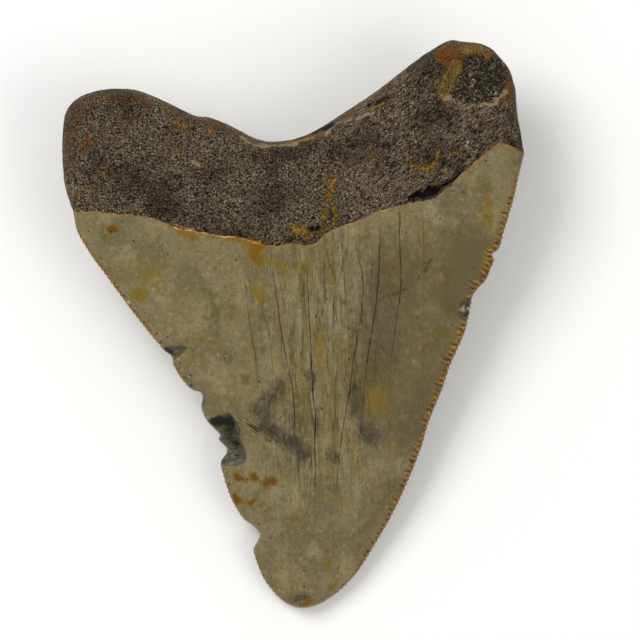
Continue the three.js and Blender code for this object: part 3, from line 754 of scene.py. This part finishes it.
# The fine drying cracks of the crown, from left to right. Each is listed down its length as
# (y, x, how deep). Between its neighbours a crack's distance is counted plus or minus in turn, so
# one smooth number says where every crack runs.
CRACKS = [
    [(7.0, -7.3, 0), (5.5, -7.05, 0.5), (-0.5, -6.45, 0.6), (-4.7, -5.6, 0.6), (-7.4, -5.3, 0)],
    [(2.6, -4.6, 0), (1.7, -4.4, 0.5), (-1.6, -3.5, 0.6), (-5.3, -3.15, 0.5), (-9.1, -2.6, 0)],
    [(9.0, -3.2, 0), (7.6, -3.0, 0.5), (1.4, -2.1, 0.7), (-3.4, -1.35, 0.8), (-7.4, -0.5, 0.8),
     (-10.6, 0.05, 0.8), (-14.2, 0.2, 0.7), (-18.7, -0.15, 0.6), (-21.7, -0.5, 0)],
    [(9.5, 2.0, 0), (7.6, 2.1, 0.7), (-0.2, 2.5, 0.9), (-6.2, 2.8, 1), (-11.2, 3.1, 1), (-13.4, 3.4, 1),
     (-18.7, 3.3, 1), (-21.5, 3.4, 0.9), (-25.9, 3.1, 0)],
    [(13.1, 7.4, 0.5), (8.6, 7.3, 0.4), (5.0, 6.3, 0), (3.8, 6.1, 0.5), (0.8, 6.15, 0.5), (-1.0, 6.1, 0)],
    [(12.6, 9.4, 0.3), (11.8, 9.5, 0.6), (6.4, 10.5, 0.8), (2.3, 10.3, 0.8), (-1.6, 9.65, 0.9),
     (-5.9, 9.0, 0.9), (-9.7, 8.5, 0.9), (-13.7, 7.8, 0.8), (-17.9, 7.2, 0.8), (-22.3, 6.7, 0.6),
     (-26.2, 6.3, 0)],
    [(14.0, 13.1, 0.4), (11.8, 13.0, 0.8), (6.4, 12.75, 0.9), (2.3, 12.3, 0.9), (-0.7, 11.9, 0.9),
     (-4.4, 11.25, 0.9), (-8.3, 10.85, 0.8), (-11.9, 10.5, 0.7), (-16.7, 10.0, 0)],
    [(17.0, 16.0, 0.6), (12.8, 15.95, 0.9), (7.6, 16.2, 0.9), (4.6, 16.0, 0.8), (2.3, 15.75, 0.7),
     (-0.7, 15.3, 0.6), (-3.7, 14.85, 0.5), (-5.9, 14.55, 0)],
    [(16.5, 19.4, 0), (14.5, 19.5, 0.4), (10.4, 19.6, 0.35), (8.0, 19.6, 0)],
]
FAR_FROM_CRACKS = 9.0
DEPTH_ON_TONGUE_SIDE = 0.6
crack_side, crack_depth = np.ones_like(x), np.zeros_like(x)
nearest = np.full_like(x, FAR_FROM_CRACKS)
for crack in CRACKS:
    downwards = [(-y_at, x_at, deep) for y_at, x_at, deep in crack]
    across = x - level_through(downwards, 1)(-y)
    deep = level_through(downwards, 2)(-y) * (y < crack[0][0]) * (y > crack[-1][0])
    crack_depth = np.where(np.abs(across) < nearest, deep, crack_depth)
    nearest = np.minimum(nearest, np.abs(across))
    crack_side = np.where(across > 0, -crack_side, crack_side)
keep(mesh, "crack", nearest * crack_side)
keep(mesh, "crack_depth", np.where(upper, crack_depth, DEPTH_ON_TONGUE_SIDE * crack_depth))


def linear(shade):
    """A hex colour as the four linear numbers a shader takes."""
    parts = [int(shade[i : i + 2], 16) / 255 for i in (1, 3, 5)]
    return [p / 12.92 if p <= 0.04045 else ((p + 0.055) / 1.055) ** 2.4 for p in parts] + [1]


def add(tree, kind, inputs, output=0, **settings):
    """Adds a node with its settings, links or fills its inputs, and gives back an output."""
    made = tree.nodes.new("ShaderNode" + kind)
    for name, value in settings.items():
        setattr(made, name, value)
    for socket, value in inputs.items():
        if isinstance(value, bpy.types.NodeSocket):
            tree.links.new(value, made.inputs[socket])
        else:
            made.inputs[socket].default_value = value
    return made.outputs[output] if made.outputs else made


def plus(tree, value, amount, other):
    """A value plus an amount of another."""
    return add(tree, "Math", {0: other, 1: amount, 2: value}, operation="MULTIPLY_ADD")


def begin_material(name, patterns, marks):
    """An empty material, and the values that its layers follow: its uneven patterns, each listed with
    its size in millimetres across, along and through the tooth, its turn, detail and roughness, and
    the marks that the mesh keeps."""
    material = bpy.data.materials.new(name)
    material.use_nodes = True
    tree = material.node_tree
    tree.nodes.clear()
    metres = add(tree, "TexCoord", {}, output="Object")
    values = {"place": add(tree, "VectorMath", {0: metres, "Scale": 1 / MM}, operation="SCALE")}
    for pattern, size, turn, detail, rough in patterns:
        turned = {"Vector": values["place"], "Rotation": (0, 0, math.radians(turn)), "Scale": size}
        spot = add(tree, "Mapping", turned, vector_type="TEXTURE")
        look = {"Vector": spot, "Scale": 1, "Detail": detail, "Roughness": rough}
        values[pattern] = add(tree, "TexNoise", look)
    for mark in marks:
        values[mark] = add(tree, "Attribute", {}, output="Fac", attribute_name=mark)
    return material, tree, values


def paint(tree, values, base, layers):
    """Lays colours over a base. A layer is its colour, the value it follows, where that value starts
    to show it and shows it fully, and how much it covers then, as a number or another value's name."""
    colour = linear(base)
    for shade, follows, start, full, cover in layers:
        limits = {"Value": values[follows], "From Min": start, "From Max": full}
        limits["To Max"] = values.get(cover, cover)
        shows = add(tree, "MapRange", limits, interpolation_type="SMOOTHSTEP")
        # Sockets 0, 6 and 7 are the share and the two colours, and output 2 is the mixed colour.
        colour = add(tree, "Mix", {0: shows, 6: colour, 7: linear(shade)}, output=2, data_type="RGBA")
    return colour


def finish_material(tree, values, relief, look):
    """Raises the surface by each value of the relief, in millimetres, and joins the material up."""
    height = 0.0
    for follows, millimetres in relief:
        height = plus(tree, height, millimetres, values[follows])
    bump = add(tree, "Bump", {"Height": height, "Distance": MM})
    skin = add(tree, "BsdfPrincipled", {**look, "Normal": bump})
    add(tree, "OutputMaterial", {"Surface": skin})


# Fossil enamel is apatite, grown smooth and hard, and dyed olive by the sea bed. It keeps a satin
# polish, with feathery streaks up the tooth, drying cracks, iron stains and a bruised edge. Its
# finest grain is drawn 0.2 mm wide, coarser than the real grain, so that it shows.
enamel, tree, values = begin_material(
    "fossil_enamel",
    [
        ("clouds", (7.0, 9.0, 7.0), 0, 3, 0.5), ("haze", (3.0, 4.5, 3.0), 20, 3, 0.5),
        ("glow", (3.4, 7.0, 3.4), -8, 3, 0.5), ("bands", (1.5, 16.0, 3.0), 3, 2, 0.5),
        ("mottle", (0.65, 0.8, 0.7), 0, 6, 0.65), ("blotch", (1.3, 1.6, 1.4), 0, 5, 0.5),
        ("ash", (0.6, 0.9, 0.6), 0, 6, 0.7), ("grain", (0.2, 0.24, 0.2), 0, 1, 0.5),
        ("streaks", (0.45, 6.0, 2.0), 2, 4, 0.5), ("hairs", (0.18, 3.0, 1.0), -3, 3, 0.5),
        ("crazing", (1.5, 30.0, 4.0), 3, 2, 0.5), ("wander", (1.6, 1.6, 1.6), 0, 3, 0.5),
        ("breaks", (0.9, 2.2, 1.0), 0, 3, 0.5), ("striae", (1.4, 0.35, 0.8), 25, 4, 0.6),
        ("scuffs", (2.6, 0.2, 1.0), -34, 1, 0.5),
    ],
    ["ochre", "rust", "pale", "olive", "smoke", "brown", "painted_shade", "torn", "streaky", "scuffed", "scar",
     "crack", "crack_depth", "off_line", "from_edge", "margin", "serration"],
)
# Stains fray along the mottling of the enamel that took them up, and the painted shade and painted
# highlights fray with them.
for mark, pattern, amount in (
    ("olive", "blotch", 1.4), ("smoke", "ash", 1.8), ("brown", "blotch", 1.2), ("ochre", "mottle", 2.0),
    ("rust", "mottle", 0.5), ("pale", "mottle", 1.6), ("painted_shade", "striae", 2.2), ("off_line", "blotch", 1.1),
):
    values[mark] = plus(tree, values[mark], amount, values[pattern])

# The edge is bruised brown. Dark slashes of uneven length stand in it, about one to a serration: they
# are painted shade in the notches, and the light ticks between them are painted highlights on the
# serration tips.
tick = add(tree, "TexNoise", {"W": values["serration"], "Scale": 0.9, "Detail": 2}, noise_dimensions="1D")
values["fringe"] = plus(tree, plus(tree, values["margin"], 1.6, values["blotch"]), 2.1, tick)
fringed = {"Value": values["fringe"], "From Min": 2.9, "From Max": 2.3}
values["comb"] = add(tree, "MapRange", fringed, interpolation_type="SMOOTHSTEP")
shaken = plus(tree, values["serration"], 2.0, values["mottle"])
turns = add(tree, "Math", {0: shaken, 1: 2 * math.pi}, operation="MULTIPLY")
values["stripe"] = add(tree, "Math", {0: turns}, operation="COSINE")

# A crack wanders, pinches and gapes. Beside the large ones run hairs too fine to follow.
strayed = plus(tree, values["crack"], 0.36, values["wander"])
centred = add(tree, "Math", {0: strayed, 1: 0.18}, operation="SUBTRACT")
from_crack = add(tree, "Math", {0: centred}, operation="ABSOLUTE")
values["split"] = plus(tree, from_crack, 0.22, values["breaks"])
middle = add(tree, "Math", {0: values["crazing"], 1: 0.5}, operation="SUBTRACT")
from_hair = add(tree, "Math", {0: middle}, operation="ABSOLUTE")
values["crazed"] = plus(tree, from_hair, 0.04, values["breaks"])
values["cleft"] = add(tree, "MapRange", {"Value": values["split"], "From Min": 0.1, "From Max": 0.26})
values["in_scar"] = add(tree, "MapRange", {"Value": values["scar"], "From Min": -0.03, "From Max": 0.1})

# Grit left small dark dents, one in a few of the cells the crown is parted into.
DENT_CELL = 1.7
dents = {"Vector": values["place"], "Scale": 1 / DENT_CELL}
dent_pick = add(tree, "TexVoronoi", dents, output="Color", voronoi_dimensions="2D")
values["dent"] = add(tree, "TexVoronoi", dents, output="Distance", voronoi_dimensions="2D")
picked = {"Value": add(tree, "SeparateColor", {0: dent_pick}), "From Min": 0.93, "From Max": 0.94}
values["dented"] = add(tree, "MapRange", picked)

enamel_colour = paint(tree, values, "#7c7050", [
    ("#5e553a", "clouds", 0.44, 0.62, 0.6), ("#90835c", "haze", 0.52, 0.7, 0.6),
    ("#76632e", "glow", 0.52, 0.7, 0.45), ("#6e5f2c", "haze", 0.46, 0.3, 0.45),
    ("#4f4528", "mottle", 0.53, 0.68, 0.5), ("#9c8e62", "mottle", 0.47, 0.32, 0.45),
    ("#6c5b22", "bands", 0.48, 0.62, "streaky"), ("#938b6e", "bands", 0.44, 0.32, "streaky"),
    ("#988b60", "streaks", 0.54, 0.7, "streaky"), ("#352d1a", "hairs", 0.56, 0.68, "streaky"),
    ("#b0a376", "grain", 0.64, 0.76, 0.5), ("#353018", "grain", 0.37, 0.26, 0.65),
    ("#56482a", "brown", 0.45, 1.8, 0.8), ("#5f5622", "olive", 0.85, 1.75, 0.8),
    ("#2d2a20", "smoke", 1.1, 2.1, 0.85), ("#78621f", "ochre", 1.15, 1.7, 0.8),
    ("#744c02", "ochre", 1.65, 2.3, 0.85), ("#7c5e1c", "rust", 0.5, 0.9, 0.8),
    ("#643e00", "rust", 0.85, 1.25, 0.9), ("#855410", "off_line", 1.05, 0.7, "torn"),
    # A painted highlight in cream runs along the step at the torn end of the enamel.
    ("#cfa85e", "off_line", 0.66, 0.48, "torn"), ("#6a4a10", "fringe", 3.0, 2.3, 0.85),
    # Painted highlights on the serration tips, then painted shade in the notches between them.
    ("#a37c38", "stripe", 0.4, 0.95, "comb"), ("#271a06", "stripe", -0.75, -0.97, "comb"),
    ("#93601a", "from_edge", 0.4, 0.12, 0.6), ("#4a4635", "in_scar", 0.0, 1.0, 0.95),
    ("#6a6654", "striae", 0.53, 0.68, "in_scar"), ("#1f1d16", "striae", 0.46, 0.32, "in_scar"),
    # The pale layer here is partly real pale spots and partly painted highlights on scar rims and on the
    # step at the end of the enamel.
    ("#16120d", "scuffs", 0.56, 0.62, "scuffed"), ("#b9a57a", "pale", 1.3, 1.9, 0.8),
    ("#1e180e", "crazed", 0.042, 0.025, "streaky"), ("#15110a", "split", 0.205, 0.145, "crack_depth"),
    # The black layer that comes first here is painted shade in the grooves and along the scar walls.
    ("#100e0a", "painted_shade", 1.5, 2.1, 0.95), ("#15110c", "dent", 0.1, 0.05, "dented"),
])
finish_material(
    tree, values,
    [("cleft", 0.07), ("streaks", 0.03), ("hairs", 0.02), ("mottle", 0.03), ("grain", 0.014)],
    {"Base Color": enamel_colour, "Roughness": 0.42, "IOR": 1.6, "Specular IOR Level": 0.15},
)

# The root is fossil bone, porous and worn, dark grey-brown with lighter grains and ochre clay
# caught in its hollows. It has no polish; the glints on its grains are painted highlights, light
# specks in its colour. The finest grains are drawn 0.22 mm wide, coarser than the real ones, so that
# they show.
bone, tree, values = begin_material(
    "fossil_bone",
    [
        ("clouds", (6.0, 6.0, 6.0), 0, 3, 0.5), ("clumps", (1.3, 1.3, 1.3), 0, 5, 0.6),
        ("grit", (0.36, 0.36, 0.36), 0, 4, 0.75), ("striae", (1.0, 0.32, 0.5), 42, 5, 0.75),
        ("lace", (0.5, 0.5, 0.5), 0, 5, 0.65), ("glints", (0.22, 0.22, 0.22), 0, 2, 0.5),
    ],
    ["clay", "ochre", "rust", "pale", "painted_shade", "facet", "pits"],
)
# The marks fray along the lace. Among them are the painted shade in the hollows and grooves and the painted
# highlights among the pale marks.
for mark, amount in (("clay", 1.0), ("ochre", 3.0), ("rust", 1.2), ("pale", 2.0), ("painted_shade", 2.4)):
    values[mark] = plus(tree, values[mark], amount, values["lace"])
# Fibres show on the right lobe, where the skin wore off, most of all on its worn flat.
across = add(tree, "SeparateXYZ", {0: values["place"]}, output="X")
fibrous = add(tree, "MapRange", {"Value": across, "From Min": 7, "From Max": 14})
values["grain"] = add(tree, "Mix", {0: fibrous, 2: values["grit"], 3: values["striae"]})
values["in_facet"] = add(tree, "MapRange", {"Value": values["facet"], "From Min": 0.0, "From Max": 0.6})
# Light grains and painted glints lie in drifts, and the dark ground between them has few.
drifts = {"Value": values["clouds"], "From Min": 0.66, "From Max": 0.4, "To Min": 0.3, "To Max": 0.9}
values["grain_and_glint_drifts"] = add(tree, "MapRange", drifts)
bone_colour = paint(tree, values, "#776853", [
    ("#43372c", "clouds", 0.46, 0.66, 0.8), ("#83735c", "clouds", 0.46, 0.32, 0.5),
    ("#7e6e52", "clumps", 0.52, 0.68, 0.7), ("#241d17", "clumps", 0.44, 0.32, 0.75),
    ("#3a3526", "in_facet", 0.0, 1.0, 0.9), ("#0b0907", "grain", 0.485, 0.425, 0.96),
    # These light grains and the light glints after them are partly real pale grains and partly painted
    # glints, highlights in the colour.
    ("#a7997b", "grain", 0.55, 0.64, "grain_and_glint_drifts"), ("#e6dbc0", "grain", 0.61, 0.69, "grain_and_glint_drifts"),
    ("#e4dabf", "glints", 0.61, 0.7, "grain_and_glint_drifts"), ("#6c4a24", "clay", 0.75, 1.1, 0.6),
    ("#a38348", "clay", 1.1, 1.55, 0.75), ("#87541c", "rust", 0.85, 1.3, 0.75),
    ("#7c5a22", "ochre", 1.75, 2.05, 0.85), ("#cc9a40", "ochre", 2.1, 2.5, 0.9),
    # The pale layer here is partly real pale spots and partly painted highlights along the ridge above the
    # notch and the rim of the worn flat.
    ("#0d0a08", "glints", 0.46, 0.37, 0.94), ("#bda87c", "pale", 1.45, 2.0, 0.7),
    # Painted shade darkens the pits, and the black last layer is painted shade in the grooves and hollows.
    ("#0e0c0a", "pits", 0.4, 0.9, 0.88), ("#0c0a08", "painted_shade", 1.7, 2.1, 0.96),
])
finish_material(
    tree, values, [("grain", 0.9), ("clumps", 0.5), ("glints", 0.12)],
    {"Base Color": bone_colour, "Roughness": 0.65, "IOR": 1.55, "Specular IOR Level": 0.08},
)

# The neck is the thin band of bare root skin between crown and bone on the tongue side, smoother
# than the bone and nearly black.
neck, tree, values = begin_material(
    "fossil_neck", [("clumps", (1.4, 1.4, 1.4), 0, 5, 0.5), ("clay", (2.3, 1.2, 2.3), 0, 5, 0.5)], []
)
neck_colour = paint(tree, values, "#2f2820", [
    ("#45392a", "clumps", 0.45, 0.7, 1.0), ("#7a5a2c", "clay", 0.6, 0.72, 0.6),
])
finish_material(
    tree, values, [("clumps", 0.06)],
    {"Base Color": neck_colour, "Roughness": 0.5, "IOR": 1.55, "Specular IOR Level": 0.35},
)

for material in (enamel, bone, neck):
    mesh.materials.append(material)
mesh.polygons.foreach_set("material_index", read_kept(mesh, "part").astype(np.int32))
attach(tooth, "root")
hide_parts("tooth")

# The tooth lies on a plain pale floor of matt paper. Two soft lamps and a white surround light it
# as in a light tent, and leave a faint shadow to its right.
bpy.ops.mesh.primitive_plane_add(size=3, location=(0, 0, -0.05 * MM))
floor = bpy.context.object
floor.name = "floor"
floor_material = bpy.data.materials.new("pale_floor")
floor_material.use_nodes = True
floor_look = floor_material.node_tree.nodes["Principled BSDF"].inputs
floor_look["Base Color"].default_value = linear("#fbfaf8")
floor_look["Roughness"].default_value = 0.9
floor.data.materials.append(floor_material)
# Lamps are (name, place, size, watts), in metres.
LAMPS = [("key", (-0.45, 0.4, 0.75), 0.5, 5), ("fill", (0.55, -0.2, 0.7), 0.6, 2)]
for name, lamp_place, size, power in LAMPS:
    bpy.ops.object.light_add(type="AREA", location=lamp_place)
    lamp = bpy.context.object
    lamp.name = name
    lamp.data.size = size
    lamp.data.energy = power
    lamp.rotation_euler = Vector(lamp_place).to_track_quat("Z", "Y").to_euler()
world = bpy.data.worlds.new("studio")
world.use_nodes = True
surround = world.node_tree.nodes["Background"].inputs
surround["Color"].default_value = linear("#ffffff")
surround["Strength"].default_value = 0.52
bpy.context.scene.world = world
bpy.context.scene.view_settings.view_transform = "Standard"

# The camera looks straight down. The photograph's 640 pixels cover 96 mm, and its middle lies to
# the right of the tooth's.
VIEW_MIDDLE = (4.05 * MM, 0.82 * MM)
CAMERA_HEIGHT = 1.345
bpy.ops.object.camera_add(location=(*VIEW_MIDDLE, CAMERA_HEIGHT))
camera = bpy.context.object
camera.data.sensor_width = 36
camera.data.lens = 500
camera.data.clip_start = 0.1
bpy.context.scene.camera = camera
